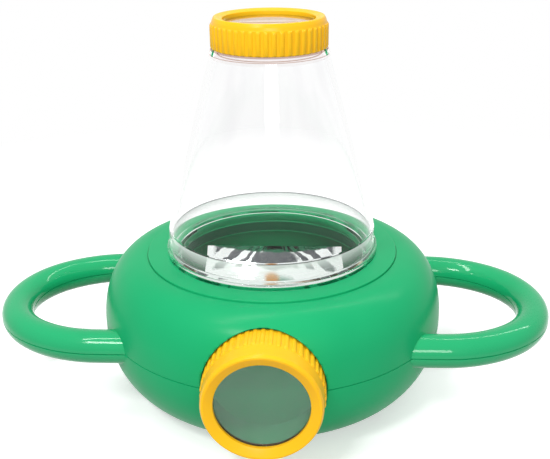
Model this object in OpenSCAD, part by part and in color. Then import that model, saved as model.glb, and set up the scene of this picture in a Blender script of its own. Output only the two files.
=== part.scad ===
// Two-handled viewer for small creatures. A clear cone jar with a magnifying screw
// cap stands on a hollow base moulded in two halves, and a mirror set at 45 degrees
// under the jar turns the view into a magnifying eyepiece on the front.
// Z is up and the base rests on z = 0. The jar's axis is x = y = 0, the handles lie
// along X and the eyepiece looks out along -Y at the height of the parting plane.

/* [Body] */
// Greatest radius of the round body, at the parting plane
body_r = 83; // [80:0.5:92]
// Height of the parting plane, where the two shells and the handle halves meet
split_h = 38.2; // [36:0.2:42]
// Height of the raised seat that the jar stands on
seat_h = 70.9; // [68:0.1:76]
// Radius of the raised seat
seat_r = 60.4; // [57:0.2:64]
// Height of the seat's edge above the dome round it
seat_step = 0.9; // [0.7:0.1:2]
// Radius of the flat underside
flat_r = 50; // [46:0.5:56]
// Wall of both shells
shell_wall = 2.4; // [2:0.1:3]
// Fullness of the dome above the parting plane, 2 for an ellipse
dome_power = 2.24; // [1.9:0.02:2.6]
// Fullness of the bowl below the parting plane, 2 for an ellipse
bowl_power = 2.12; // [1.9:0.02:2.6]

/* [Well under the jar] */
// Radius of the well's mouth in the seat
well_r = 46.2; // [45.6:0.1:47.4]
// Depth from the seat to the ledge in the well
ledge_depth = 4.2; // [3.8:0.1:6]
// Width of that ledge
ledge_w = 1.2; // [0.8:0.1:2]
// Depth from the seat to the lower edge of the well's wall
well_depth = 10.3; // [8:0.1:12]

/* [Handles] */
// Distance across both handles
overall_w = 273.6; // [266:0.2:300]
// Half the distance between the middles of a loop's two arms
loop_half = 43.9; // [41:0.1:50]
// How much tighter the loop's tip arc is than that half distance
tip_tuck = 2.4; // [1.5:0.1:4.5]
// Radius of the round bar
bar_r = 7.8; // [6.8:0.1:9]
// Wall of the hollow bar
bar_wall = 2.2; // [1.8:0.1:2.8]

/* [Jar] */
// Radius of the floor's toothed foot rim
foot_r = 51; // [50.6:0.1:53]
// Height of the foot rim
foot_h = 3; // [2.6:0.1:4]
// Outer radius of the cone's skirt at its foot
skirt_r = 50; // [49.6:0.1:50.2]
// Height above the seat where the skirt turns into the cone
kink_h = 12.1; // [10:0.1:14]
// Outer radius of the cone at that turn
kink_r = 49.4; // [48:0.1:50]
// Height above the seat of the collar's underside, where the cone ends
cone_h = 93.5; // [80:0.1:105]
// Outer radius at the top of the cone
cone_top_r = 26.8; // [26:0.1:28]
// Wall of the cone
jar_wall = 2; // [1.6:0.1:2.4]
// Height of the collar under the cap
collar_h = 2; // [1.4:0.1:3]
// Outer radius of the collar
collar_r = 26.2; // [25.4:0.1:27]
// Outer radius of the neck inside the cap
neck_r = 23.9; // [23.5:0.1:24.1]
// Thickness of the jar's floor
floor_t = 1.2; // [1:0.1:1.5]

/* [Cap] */
// Outer radius of the cap over its ribs
cap_r = 26.15; // [25.9:0.05:28]
// Length of the cap
cap_len = 13.4; // [12.8:0.1:16]
// Length of the cap's ribs
cap_rib_len = 10.5; // [8:0.1:11]
// Radius of the cap's opening
cap_open_r = 20.5; // [19:0.1:20.8]

/* [Eyepiece] */
// Outer radius of the eyepiece ring over its ribs
eye_r = 26.7; // [26.2:0.1:27.6]
// Length of the eyepiece ring
eye_len = 21.6; // [20.6:0.1:23]
// Length of the eyepiece ring's ribs
eye_rib_len = 12.8; // [10:0.1:14]
// Radius of the eyepiece's opening
eye_open_r = 20.2; // [18.5:0.1:21]
// How far the eyepiece ring's back edge lies inside the body's greatest radius
eye_back = 10.3; // [8:0.1:11.5]

/* [Screw rings] */
// Number of ribs round each screw ring
rib_count = 48; // [24:1:60]
// Radius of the round groove between two ribs
groove_r = 0.5; // [0.3:0.05:0.6]
// Wall of a screw ring from the crest of its ribs to its bore
ring_wall = 1.9; // [1.7:0.1:2.1]
// Thickness of a lens at its edge
lens_edge = 1.8; // [1.4:0.1:2.2]
// Height that each face of a lens bulges at its middle
lens_bulge = 1.5; // [0.8:0.1:2]
// Thickness of the snap ring behind a lens
retainer_t = 1.6; // [1.2:0.1:2]

/* [Mirror] */
// Width of the mirror
mirror_w = 70; // [60:1:74]
// Length of the mirror along its slope
mirror_len = 65; // [58:0.5:67]
// Thickness of the mirror
mirror_t = 1.8; // [1.5:0.1:3]
// Thickness of the foam pads behind the mirror
pad_t = 1; // [0.8:0.1:1.5]
// Width of each rail of the ramp that carries the mirror
rail_w = 5; // [4:0.5:7]

/* [Shell screws] */
// Distance from the jar's axis to the body's screw bosses
boss_circle_r = 66; // [64:0.5:68]
// Angle of the first screw boss from the X axis
boss_angle = 40; // [36:1:44]
// Radius of a screw's shank
screw_r = 1.45; // [1.2:0.05:1.6]
// Radius of a screw's head
screw_head_r = 2.9; // [2.6:0.1:3.1]

/* [Hidden] */
$fn = 96;

green = [0.17, 0.69, 0.42];
yellow = [1.0, 0.78, 0.18];
clear = [0.93, 0.95, 0.96, 0.35];

// One overrun for every cut, the clearance between pieces that fit together, and
// the larger one between pieces that turn or slide past each other.
cut = 1;
fit_gap = 0.15;
run_gap = 0.35;

// Number of steps in the curve of the dome and of the bowl
curve_steps = 14;

// Shells
dome_z = seat_h - seat_step;
seat_round = 0.6;
seam_groove = 0.35;
lip_h = 2.4;
lip_t = 1.2;

// Handles: a tip arc, two shoulder arcs and straight arms, which start inside the
// body's hollow. The arcs' centres are set apart 3 along X and 4 along Y, so 5 in all,
// and so they share a tangent where they meet.
tip_x = overall_w / 2 - bar_r;
tip_r = loop_half - tip_tuck;
tip_cx = tip_x - tip_r;
arm_x = tip_cx - 3 * tip_tuck;
arm_root_x = sqrt((body_r - shell_wall) ^ 2 - (loop_half + bar_r) ^ 2) - bar_r;
shoulder_cy = -4 * tip_tuck;
shoulder_r = tip_r + 5 * tip_tuck;

// Screw rings, the cap first and then the eyepiece: the drop of the bevelled face
// from its ridge to the opening, and the land behind the opening's edge
cap_drop = 0.7;
cap_land = 1.9;
cap_lip = cap_drop + cap_land;
eye_drop = 1.7;
eye_land = 1.5;
eye_lip = eye_drop + eye_land;
ridge_r = 0.9;
rib_round = 0.9;
shoulder_step = 0.7;
shoulder_taper = 0.6;
mouth_bevel = 0.5;
seat_width = 2.1;
retainer_w = 1.7;
rings_depth = lens_edge + retainer_t + 2 * run_gap;

// Jar
cone_z0 = seat_h + floor_t + fit_gap;
skirt_top = seat_h + kink_h;
collar_z = seat_h + cone_h;
neck_z = collar_z + collar_h;
cap_z = neck_z + run_gap;
neck_h = cap_len - cap_lip - rings_depth - fit_gap;
neck_wall = 2.2;
register_t = 1.6;
spigot_t = 2;
spigot_h = ledge_depth - run_gap;

// Eyepiece tube, its pocket in the body and the flanges that the pocket's floor
// wall is gripped between
eye_tube_r = eye_r - ring_wall - run_gap;
eye_tube_wall = 2.2;
eye_tube_len = eye_len - eye_lip - rings_depth - fit_gap;
pocket_side_gap = 0.9;
pocket_gap = 0.5;
pocket_r = eye_r + pocket_side_gap;
eye_y = body_r - eye_back;
pocket_y = eye_y - pocket_gap;
flange_w = 2.6;
flange_r = eye_tube_r + flange_w;
flange_t = 2;

// Mirror: its middle lies where the jar's axis meets the eyepiece's, or lower down the
// same slope where the seat comes too near its upper edge
mirror_seat_room = 2;
mirror_rise = mirror_len / 2 * cos(45);
mirror_slide = min(0, seat_h - mirror_seat_room - split_h - mirror_rise);
mirror_z = split_h;
rail_inset = 3;
rail_x = mirror_w / 2 - rail_w - rail_inset;
rail_stop = 3;
rail_back = 4;

// Screws: the height of the head's seat, the plastic over it and the bosses
seat_plastic = 7;
boss_wall = 2;
screw_head_t = 1.8;
pilot_depth = 9;
bar_screw_depth = 5.4;
bar_seat_plastic = 3;
driver_slot_w = 0.6;
driver_slot_len = 3.6;
driver_slot_depth = 0.8;
screw_tip_h = 1.4;
pilot_gap = 0.05;

// Points of a quarter of a superellipse that leaves (r0, z0) level and reaches (r1, z1)
// upright
function quarter(r0, z0, r1, z1, power) = [
    for (i = [0 : curve_steps])
        let (t = 90 * i / curve_steps)
        [r0 + (r1 - r0) * sin(t) ^ (2 / power), z1 + (z0 - z1) * cos(t) ^ (2 / power)]
];

// Outline of the body's two halves, and of the hollow inside each
module dome_outline() {
    polygon(concat(
        [[0, split_h], [0, seat_h], [seat_r - seat_round, seat_h]],
        [[seat_r, seat_h - seat_round]],
        quarter(seat_r, dome_z, body_r, split_h, dome_power)));
}

module dome_hollow() {
    in_r = body_r - shell_wall;
    in_z = dome_z - shell_wall;
    polygon(concat(
        [[0, split_h - cut], [0, in_z]],
        quarter(seat_r, in_z, in_r, split_h, dome_power),
        [[in_r, split_h - cut]]));
}

module bowl_outline() {
    polygon(concat(
        [[0, split_h], [0, 0]],
        quarter(flat_r, 0, body_r, split_h - seam_groove, bowl_power),
        [[body_r - seam_groove, split_h]]));
}

module bowl_hollow() {
    in_r = body_r - shell_wall;
    polygon(concat(
        [[0, split_h + cut], [0, shell_wall]],
        quarter(flat_r, shell_wall, in_r, split_h, bowl_power),
        [[in_r, split_h + cut]]));
}

// Half of the bar's round section: side 1 is above the parting plane, -1 below it.
// The groove bevels its edges at the parting line.
module bar_section(r, side, groove) {
    difference() {
        circle(r = r);
        translate([-r - cut, side > 0 ? -r - cut : 0])
            square([2 * r + 2 * cut, r + cut]);
        if (groove > 0)
            for (edge = [-1, 1])
                mirror([edge < 0 ? 1 : 0, 0])
                    polygon([[r - groove, 0], [r + cut, 0], [r + cut, -groove - cut]]);
    }
}

// A round bar's half section swept once round, kept only over the given outline
module arc_bar(centre_r, r, half, groove) {
    intersection() {
        rotate_extrude()
            translate([centre_r, 0])
                bar_section(r, half, groove);
        translate([0, 0, -r - cut])
            linear_extrude(2 * r + 2 * cut)
                children();
    }
}

// A loop of the bar, upper or lower half: an arc at the tip, two shoulder arcs and two arms
module loop(side, r, half, groove = 0, reach = 0) {
    start_x = arm_root_x - reach;
    span = loop_half + r;
    mirror([side < 0 ? 1 : 0, 0, 0])
        translate([0, 0, split_h]) {
            translate([tip_cx, 0, 0])
                arc_bar(tip_r, r, half, groove)
                    polygon([[0, 0], [3 * span, 4 * span], [5 * span, 0], [3 * span, -4 * span]]);
            for (arm = [-1, 1])
                mirror([0, arm < 0 ? 1 : 0, 0]) {
                    translate([arm_x, shoulder_cy, 0])
                        arc_bar(shoulder_r, r, half, groove)
                            polygon([[0, 0], [0, 4 * span], [3 * span, 4 * span]]);
                    translate([start_x, loop_half, 0])
                        rotate([90, 0, 90])
                            linear_extrude(arm_x - start_x)
                                bar_section(r, half, groove);
                }
        }
}

// Where things go, with local +Z along the eyepiece's axis, zero on the jar's axis and
// local X upright
module at_eyepiece() {
    translate([0, 0, split_h])
        rotate([90, 0, 0])
            rotate([0, 0, 90])
                children();
}

module at_bosses() {
    for (sx = [-1, 1], sy = [-1, 1])
        translate([sx * boss_circle_r * cos(boss_angle), sy * boss_circle_r * sin(boss_angle), 0])
            children();
}

module at_bar_screws() {
    for (side = [-1, 1])
        translate([side * tip_x, 0, 0])
            children();
}

// The pocket that the eyepiece ring sits in, with its wall and the hole for the tube
module pocket_wall() {
    at_eyepiece()
        translate([0, 0, pocket_y - shell_wall])
            cylinder(r = pocket_r + shell_wall, h = body_r);
}

module pocket_cut() {
    at_eyepiece() {
        translate([0, 0, pocket_y])
            cylinder(r = pocket_r, h = body_r);
        translate([0, 0, pocket_y - shell_wall - cut])
            cylinder(r = eye_tube_r + fit_gap, h = shell_wall + 2 * cut);
    }
}

// Dome, seat, well wall, upper handle halves and screw pillars. The hollow is cut
// round the pillars and walls that stay.
module upper_shell() {
    color(green)
        difference() {
            union() {
                rotate_extrude()
                    dome_outline();
                for (side = [-1, 1])
                    loop(side, bar_r, 1);
            }
            difference() {
                union() {
                    rotate_extrude()
                        dome_hollow();
                    for (side = [-1, 1])
                        loop(side, bar_r - bar_wall, 1, 0, shell_wall);
                }
                translate([0, 0, seat_h - well_depth])
                    cylinder(r = well_r + shell_wall, h = well_depth);
                pocket_wall();
                at_bosses()
                    translate([0, 0, split_h - 2 * cut])
                        cylinder(r = screw_r + boss_wall, h = seat_h - split_h);
                at_bar_screws()
                    translate([0, 0, split_h - cut])
                        cylinder(r = screw_r + boss_wall, h = bar_r + cut);
            }
            // The well, with its ledge
            translate([0, 0, seat_h - ledge_depth])
                cylinder(r = well_r, h = ledge_depth + cut);
            translate([0, 0, seat_h - well_depth - cut])
                cylinder(r = well_r - ledge_w, h = well_depth + 2 * cut);
            pocket_cut();
            // Pilot holes
            at_bosses()
                translate([0, 0, split_h - cut])
                    cylinder(r = screw_r + pilot_gap, h = pilot_depth + cut);
            at_bar_screws()
                translate([0, 0, split_h - cut])
                    cylinder(r = screw_r + pilot_gap, h = bar_screw_depth + cut);
        }
}

// Bowl, flat underside, lower handle halves, screw wells and the mirror's ramp
module lower_shell() {
    well_wall_r = screw_head_r + run_gap + boss_wall;
    color(green)
        difference() {
            union() {
                difference() {
                    union() {
                        rotate_extrude()
                            bowl_outline();
                        for (side = [-1, 1])
                            loop(side, bar_r, -1, seam_groove);
                    }
                    difference() {
                        union() {
                            rotate_extrude()
                                bowl_hollow();
                            for (side = [-1, 1])
                                loop(side, bar_r - bar_wall, -1, 0, shell_wall);
                        }
                        pocket_wall();
                        at_bosses()
                            cylinder(r = well_wall_r, h = split_h + 2 * cut);
                        at_bar_screws()
                            translate([0, 0, split_h - bar_r])
                                cylinder(r = well_wall_r, h = bar_r + cut);
                    }
                }
                locating_lip();
                mirror_ramp();
            }
            pocket_cut();
            at_bosses() {
                translate([0, 0, -cut])
                    cylinder(r = screw_head_r + run_gap, h = split_h - seat_plastic + cut);
                cylinder(r = screw_r + fit_gap, h = split_h + cut);
            }
            at_bar_screws() {
                translate([0, 0, split_h - bar_r - cut])
                    cylinder(r = screw_head_r + run_gap, h = bar_r - bar_seat_plastic + cut);
                translate([0, 0, split_h - bar_r])
                    cylinder(r = screw_r + fit_gap, h = bar_r + cut);
            }
        }
}

// Ring inside the joint that lines the upper shell up, open where the handles'
// hollows and the eyepiece's pocket pass through it
module locating_lip() {
    lip_r = body_r - shell_wall - fit_gap;
    root_r = body_r - shell_wall / 2;
    difference() {
        translate([0, 0, split_h])
            rotate_extrude()
                polygon([
                    [lip_r - lip_t, -lip_h],
                    [root_r, -lip_h],
                    [root_r, 0],
                    [lip_r, 0],
                    [lip_r, lip_h],
                    [lip_r - lip_t, lip_h]]);
        for (side = [-1, 1], arm = [-1, 1])
            translate([side * body_r, arm * loop_half, split_h])
                cube([body_r, 2 * bar_r, 4 * lip_h], center = true);
        at_eyepiece()
            cylinder(r = pocket_r + shell_wall + fit_gap, h = body_r);
    }
}

// Two rails with sloping tops and a stop under the mirror's lower edge
module mirror_ramp() {
    drop = (mirror_t + pad_t) * sqrt(2);
    foot_y = mirror_slide - mirror_rise;
    top_y = mirror_slide + mirror_rise;
    for (side = [-1, 1])
        translate([side * rail_x - rail_w / 2, 0, 0])
            rotate([90, 0, 90])
                linear_extrude(rail_w)
                    polygon([
                        [foot_y - rail_stop, shell_wall / 2],
                        [foot_y - rail_stop, mirror_z + foot_y + mirror_t / 2],
                        [foot_y - fit_gap, mirror_z + foot_y + mirror_t / 2],
                        [foot_y - fit_gap, mirror_z + foot_y - drop - fit_gap],
                        [top_y, mirror_z + top_y - drop],
                        [top_y + rail_back, mirror_z + top_y - drop],
                        [top_y + rail_back, shell_wall / 2]]);
}

// Where the mirror's silvered face lies, with local +Z out of that face
module at_mirror() {
    translate([0, mirror_slide, mirror_z + mirror_slide])
        rotate([45, 0, 0])
            children();
}

module mirror_plate() {
    color([0.85, 0.87, 0.88])
        at_mirror()
            translate([-mirror_w / 2, -mirror_len / 2, -mirror_t])
                cube([mirror_w, mirror_len, mirror_t]);
}

module mirror_pads() {
    pad_len = mirror_len - 2 * rail_w;
    color([0.93, 0.93, 0.9])
        at_mirror()
            for (side = [-1, 1])
                translate([side * rail_x - rail_w / 2, -pad_len / 2, -mirror_t - pad_t])
                    cube([rail_w, pad_len, pad_t]);
}

// One self-tapping screw, head down, with its head's upper face at z = 0
module screw(shank_len) {
    difference() {
        union() {
            translate([0, 0, -screw_head_t])
                cylinder(r = screw_head_r, h = screw_head_t);
            cylinder(r = screw_r, h = shank_len - screw_tip_h);
            translate([0, 0, shank_len - screw_tip_h])
                cylinder(r1 = screw_r, r2 = screw_r / 3, h = screw_tip_h);
        }
        for (turn = [0, 90])
            rotate([0, 0, turn])
                translate([-driver_slot_len / 2, -driver_slot_w / 2, -screw_head_t - cut])
                    cube([driver_slot_len, driver_slot_w, driver_slot_depth + cut]);
    }
}

module shell_screws() {
    color([0.75, 0.76, 0.78]) {
        at_bosses()
            translate([0, 0, split_h - seat_plastic])
                screw(seat_plastic + pilot_depth - fit_gap);
        at_bar_screws()
            translate([0, 0, split_h - bar_seat_plastic])
                screw(bar_seat_plastic + bar_screw_depth - fit_gap);
    }
}

// Sleeve that the eyepiece ring screws on, with a flange each side of the pocket's wall
module eyepiece_tube() {
    back = pocket_y - shell_wall - flange_t;
    front = eye_y + eye_tube_len;
    color(green)
        at_eyepiece()
            difference() {
                union() {
                    translate([0, 0, back])
                        cylinder(r = eye_tube_r, h = front - back);
                    translate([0, 0, back])
                        cylinder(r = flange_r, h = flange_t);
                }
                translate([0, 0, back - cut])
                    cylinder(r = eye_tube_r - eye_tube_wall, h = front - back + 2 * cut);
            }
}

// Profile of a screw ring above its ribs, standing on its open end: shoulder, rounded
// ridge and bevelled face, with the land round the opening
module ring_profile(outer_r, length, rib_len, open_r, drop) {
    shoulder = outer_r - shoulder_step;
    top_r = shoulder - shoulder_taper - ridge_r;
    ridge_z = length - ridge_r;
    polygon([
        [open_r, 0],
        [shoulder, 0],
        [shoulder, rib_len],
        [top_r + ridge_r, ridge_z],
        [top_r, ridge_z],
        [top_r, length],
        [open_r, length - drop]]);
    translate([top_r, ridge_z])
        circle(r = ridge_r);
}

// The ring itself: a ribbed band with bevelled ends, the part above it, and the bore
// with its step for the lens
module screw_ring(outer_r, length, rib_len, open_r, drop, land) {
    bore_r = outer_r - ring_wall;
    lens_bore = open_r + seat_width + run_gap;
    seat_z = length - drop - land;
    step_z = seat_z - lens_edge - retainer_t - run_gap;
    color(yellow)
        difference() {
            union() {
                intersection() {
                    linear_extrude(rib_len)
                        difference() {
                            circle(r = outer_r);
                            for (i = [0 : rib_count - 1])
                                rotate(360 * (i + 0.5) / rib_count)
                                    translate([outer_r, 0])
                                        circle(r = groove_r, $fn = 24);
                        }
                    rotate_extrude()
                        polygon([
                            [0, 0],
                            [outer_r - mouth_bevel, 0],
                            [outer_r + cut, mouth_bevel + cut],
                            [outer_r + cut, rib_len - rib_round - cut],
                            [outer_r - rib_round, rib_len],
                            [0, rib_len]]);
                }
                rotate_extrude()
                    ring_profile(outer_r, length, rib_len, open_r, drop);
            }
            rotate_extrude()
                polygon([
                    [0, -cut],
                    [bore_r + mouth_bevel + cut, -cut],
                    [bore_r, mouth_bevel],
                    [bore_r, step_z],
                    [lens_bore, step_z],
                    [lens_bore, seat_z],
                    [0, seat_z]]);
            translate([0, 0, -cut])
                cylinder(r = open_r, h = length + 2 * cut);
        }
}

// A lens bulging on both faces, with its edge between z = 0 and z = lens_edge
module lens(r) {
    ball_r = (r ^ 2 + lens_bulge ^ 2) / (2 * lens_bulge);
    color(clear)
        rotate_extrude()
            intersection() {
                translate([0, -lens_bulge])
                    square([r, lens_edge + 2 * lens_bulge]);
                translate([0, ball_r - lens_bulge])
                    circle(r = ball_r, $fn = 1440);
                translate([0, lens_edge + lens_bulge - ball_r])
                    circle(r = ball_r, $fn = 1440);
            }
}

// How far a lens of radius r bulges past its edge's level at a smaller radius
function bulge_at(at_r, r) = lens_bulge * (1 - (at_r / r) ^ 2);

// How far below its lip's land the edge of a lens lies, for the bulge to clear the lip
function lens_drop(open_r) = fit_gap + bulge_at(open_r, open_r + seat_width);

// How far the snap ring lies below the lens's edge
function retainer_drop(r) = retainer_t + bulge_at(r - retainer_w, r);

module retainer(r) {
    color([0.2, 0.2, 0.2])
        difference() {
            cylinder(r = r, h = retainer_t);
            translate([0, 0, -cut])
                cylinder(r = r - retainer_w, h = retainer_t + 2 * cut);
        }
}

module eyepiece_ring() {
    at_eyepiece()
        translate([0, 0, eye_y])
            screw_ring(eye_r, eye_len, eye_rib_len, eye_open_r, eye_drop, eye_land);
}

module eyepiece_lens() {
    at_eyepiece()
        translate([0, 0, eye_y + eye_len - eye_lip - lens_edge - lens_drop(eye_open_r)])
            lens(eye_open_r + seat_width);
}

module eyepiece_lens_retainer() {
    lens_r = eye_open_r + seat_width;
    lens_z = eye_y + eye_len - eye_lip - lens_edge - lens_drop(eye_open_r);
    at_eyepiece()
        translate([0, 0, lens_z - retainer_drop(lens_r)])
            retainer(lens_r);
}

// Cone open at both ends: skirt, cone, collar and neck
module jar_cone() {
    neck_in = neck_r - neck_wall;
    color(clear)
        rotate_extrude()
            polygon([
                [skirt_r, cone_z0],
                [kink_r, skirt_top],
                [cone_top_r, collar_z],
                [collar_r, neck_z],
                [neck_r, neck_z],
                [neck_r, neck_z + neck_h],
                [neck_in, neck_z + neck_h],
                [neck_in, neck_z],
                [cone_top_r - jar_wall, collar_z - collar_h],
                [kink_r - jar_wall, skirt_top],
                [skirt_r - jar_wall, cone_z0]]);
}

// Dish that closes the cone's foot: plate, rim, register inside the cone, and a
// spigot that drops into the well of the base
module jar_floor() {
    register_r = kink_r - jar_wall - run_gap;
    spigot_r = well_r - run_gap;
    color(clear)
        rotate_extrude()
            polygon([
                [0, seat_h],
                [spigot_r - spigot_t, seat_h],
                [spigot_r - spigot_t, seat_h - spigot_h],
                [spigot_r, seat_h - spigot_h],
                [spigot_r, seat_h],
                [foot_r, seat_h],
                [foot_r, seat_h + foot_h],
                [skirt_r + fit_gap, seat_h + foot_h],
                [skirt_r + fit_gap, seat_h + floor_t],
                [register_r, seat_h + floor_t],
                [register_r, seat_h + foot_h],
                [register_r - register_t, seat_h + foot_h],
                [register_r - register_t, seat_h + floor_t],
                [0, seat_h + floor_t]]);
}

module cap_ring() {
    translate([0, 0, cap_z])
        screw_ring(cap_r, cap_len, cap_rib_len, cap_open_r, cap_drop, cap_land);
}

module cap_lens() {
    translate([0, 0, cap_z + cap_len - cap_lip - lens_edge - lens_drop(cap_open_r)])
        lens(cap_open_r + seat_width);
}

module cap_lens_retainer() {
    lens_r = cap_open_r + seat_width;
    lens_z = cap_z + cap_len - cap_lip - lens_edge - lens_drop(cap_open_r);
    translate([0, 0, lens_z - retainer_drop(lens_r)])
        retainer(lens_r);
}

upper_shell();
lower_shell();
shell_screws();
mirror_plate();  // mirror
mirror_pads();
eyepiece_tube();
eyepiece_ring();
eyepiece_lens();
eyepiece_lens_retainer();
jar_cone();
jar_floor();
cap_ring();
cap_lens();
cap_lens_retainer();
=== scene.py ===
import math

import bmesh
import bpy
from mathutils import Matrix, Vector


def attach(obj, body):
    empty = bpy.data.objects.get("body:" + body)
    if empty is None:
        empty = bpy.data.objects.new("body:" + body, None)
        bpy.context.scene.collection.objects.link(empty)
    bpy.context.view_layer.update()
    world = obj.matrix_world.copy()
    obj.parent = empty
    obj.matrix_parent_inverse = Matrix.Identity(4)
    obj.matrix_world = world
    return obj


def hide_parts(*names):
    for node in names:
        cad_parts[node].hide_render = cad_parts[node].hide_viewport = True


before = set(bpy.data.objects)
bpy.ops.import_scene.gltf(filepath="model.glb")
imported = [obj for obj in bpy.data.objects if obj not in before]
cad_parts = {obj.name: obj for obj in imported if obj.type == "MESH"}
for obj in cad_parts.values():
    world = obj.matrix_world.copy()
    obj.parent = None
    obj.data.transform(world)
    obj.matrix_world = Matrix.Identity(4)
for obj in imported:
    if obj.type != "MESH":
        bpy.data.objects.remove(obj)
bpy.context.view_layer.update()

# sizes are in millimetres, apart from the looks, the stage and the lamps, which are in metres
mm = 0.001
tau = 2 * math.pi


def linked(name, data):
    thing = bpy.data.objects.new(name, data)
    bpy.context.scene.collection.objects.link(thing)
    return thing


def roundedLoop(points, steps=5):
    # points are (r, z) or (r, z, fillet); a fillet becomes a short arc
    mostOfEdge = 0.49
    count = len(points)
    out = []
    for i, point in enumerate(points):
        here = Vector(point[:2])
        if len(point) < 3 or point[2] <= 0:
            out.append(tuple(here))
            continue
        before = Vector(points[i - 1][:2]) - here
        after = Vector(points[(i + 1) % count][:2]) - here
        turn = before.angle(after)
        reach = min(point[2] / math.tan(turn / 2),
                    before.length * mostOfEdge, after.length * mostOfEdge)
        radius = reach * math.tan(turn / 2)
        back, on = before.normalized(), after.normalized()
        start, end = here + back * reach, here + on * reach
        centre = here + (back + on).normalized() * math.hypot(reach, radius)
        a0 = math.atan2(start.y - centre.y, start.x - centre.x)
        a1 = math.atan2(end.y - centre.y, end.x - centre.x)
        swing = (a1 - a0 + math.pi) % tau - math.pi
        for k in range(steps + 1):
            angle = a0 + swing * k / steps
            out.append((centre.x + radius * math.cos(angle), centre.y + radius * math.sin(angle)))
    return out


def quarterCurve(r0, z0, r1, z1, power, steps=40):
    # superellipse that leaves (r0, z0) level and reaches (r1, z1) upright
    out = []
    for i in range(steps + 1):
        t = math.pi / 2 * i / steps
        out.append((r0 + (r1 - r0) * math.sin(t) ** (2 / power),
                    z1 + (z0 - z1) * math.cos(t) ** (2 / power)))
    return out


def atEyepiece(height):
    # local Z becomes -Y of the object, at the height of the parting plane
    return Matrix.Translation((0, 0, height * mm)) @ Matrix.Rotation(math.pi / 2, 4, "X")


def finishMesh(name, bm, sharpDegrees=35, place=None):
    weldDistance = 1e-7
    bmesh.ops.remove_doubles(bm, verts=bm.verts, dist=weldDistance)
    bmesh.ops.recalc_face_normals(bm, faces=bm.faces)
    if place is not None:
        bmesh.ops.transform(bm, matrix=place, verts=bm.verts)
    mesh = bpy.data.meshes.new(name)
    bm.to_mesh(mesh)
    bm.free()
    for polygon in mesh.polygons:
        polygon.use_smooth = True
    mesh.set_sharp_from_angle(angle=math.radians(sharpDegrees))
    return linked(name, mesh)


def lathe(name, loop, segments=192, place=None):
    # a closed loop of (r, z) turned about Z; points on the axis stay single
    onAxis = 1e-6
    bm = bmesh.new()
    rings = []
    for r, z in loop:
        if abs(r) < onAxis:
            rings.append([bm.verts.new((0, 0, z * mm))] * segments)
        else:
            rings.append([bm.verts.new((r * mm * math.cos(tau * k / segments),
                                        r * mm * math.sin(tau * k / segments), z * mm))
                          for k in range(segments)])
    for ring, following in zip(rings, rings[1:] + rings[:1]):
        for k in range(segments):
            n = (k + 1) % segments
            corners = list(dict.fromkeys([ring[k], ring[n], following[n], following[k]]))
            if len(corners) > 2:
                bm.faces.new(corners)
    return finishMesh(name, bm, place=place)


def cutWith(piece, tool, operation="DIFFERENCE"):
    # exact boolean made permanent, with the tool thrown away
    modifier = piece.modifiers.new("cut", "BOOLEAN")
    modifier.operation = operation
    modifier.solver = "EXACT"
    modifier.object = tool
    result = bpy.data.meshes.new_from_object(
        piece.evaluated_get(bpy.context.evaluated_depsgraph_get()))
    piece.modifiers.clear()
    old = piece.data
    piece.data = result
    bpy.data.meshes.remove(old)
    bpy.data.objects.remove(tool)


def rod(name, x, y, z0, z1, radius, segments=48, place=None):
    # a solid bar from z0 to z1
    move = Matrix.Translation((x * mm, y * mm, 0))
    full = move if place is None else place @ move
    return lathe(name, [(0, z0), (radius, z0), (radius, z1), (0, z1)], segments, full)


def joined(name, pieces):
    bm = bmesh.new()
    for piece in pieces:
        bm.from_mesh(piece.data)
        bpy.data.objects.remove(piece)
    mesh = bpy.data.meshes.new(name)
    bm.to_mesh(mesh)
    bm.free()
    return linked(name, mesh)


class Value:
    # wraps a socket, so that an expression on it adds its Math nodes
    def __init__(self, graph, socket):
        self.graph = graph
        self.socket = socket

    def math(self, operation, *others, flip=False):
        operands = [*others, self] if flip else [self, *others]
        return self.graph.add("ShaderNodeMath", {"operation": operation},
                              dict(enumerate(operands)))

    def __add__(self, other):
        return self.math("ADD", other)

    def __radd__(self, other):
        return self.math("ADD", other)

    def __sub__(self, other):
        return self.math("SUBTRACT", other)

    def __rsub__(self, other):
        return self.math("SUBTRACT", other, flip=True)

    def __mul__(self, other):
        return self.math("MULTIPLY", other)

    def __rmul__(self, other):
        return self.math("MULTIPLY", other)

    def __truediv__(self, other):
        return self.math("DIVIDE", other)

    def __pow__(self, other):
        return self.math("POWER", other)

    def clamped(self):
        return self.graph.add("ShaderNodeClamp", {}, {0: self})

    def ramp(self, start, slope):
        # 0 up to the start, then rising to 1
        return ((self - start) * slope).clamped()

    def below(self, edge, soft):
        # 1 under the edge, falling to 0 over the soft width
        return ((edge - self) / soft + 0.5).clamped()

    def lineAt(self, middle, width, soft):
        return (self - middle).math("ABSOLUTE").below(width, soft)


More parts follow.
